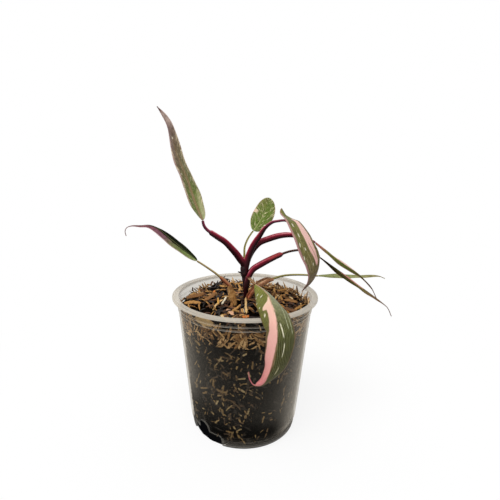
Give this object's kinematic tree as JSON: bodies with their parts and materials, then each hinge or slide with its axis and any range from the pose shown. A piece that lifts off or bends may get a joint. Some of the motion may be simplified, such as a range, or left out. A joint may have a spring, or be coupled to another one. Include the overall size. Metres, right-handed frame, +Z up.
{
  "type": "potted philodendron",
  "caption": "Young variegated philodendron with long narrow leaves, growing in husk mulch and dark potting mix in a translucent round nursery pot.",
  "frame": {"origin": "centre of the pot's underside, where it rests on a surface", "axes": "+Z up along the pot's axis, -Y towards the viewer of the picture, +X to the viewer's right"},
  "size_m": [0.2311, 0.1388, 0.2605],
  "materials": {
    "clear_plastic": "milky translucent moulded plastic, semi-gloss, lightly scuffed",
    "dark_mix": "damp crumbly coco fibre and peat, matt",
    "husk": "dry chipped coconut husk and bark, fibrous and matt",
    "root": "pale fleshy root skin with crumbs of mix, matt",
    "stem_skin": "smooth dark burgundy skin, satin",
    "burgundy_stalk": "smooth burgundy skin with a rose edge, satin",
    "pale_stalk": "straw and olive skin, satin",
    "variegated_leaf": "green leaf skin with cream and pink sectors and fine lateral veins, satin",
    "dried_sheath": "papery dried sheath, finely ribbed, matt"
  },
  "bodies": {
    "root": {"pot": "clear_plastic", "potting_mix": "dark_mix", "husk_mulch": "husk", "roots": "root", "stem": "stem_skin", "stalk_tall": "burgundy_stalk", "blade_tall": "variegated_leaf", "stalk_low_left": "pale_stalk", "blade_low_left": "variegated_leaf", "stalk_small": "pale_stalk", "blade_small": "variegated_leaf", "stalk_hanging": "burgundy_stalk", "blade_hanging": "variegated_leaf", "stalk_upper_right": "burgundy_stalk", "blade_upper_right": "variegated_leaf", "stalk_lower_right": "burgundy_stalk", "blade_lower_right": "variegated_leaf", "stalk_level": "pale_stalk", "blade_level": "variegated_leaf", "stalk_front": "pale_stalk", "blade_front": "variegated_leaf", "sheath_left": "dried_sheath", "sheath_right": "dried_sheath"}
  },
  "joints": []
}
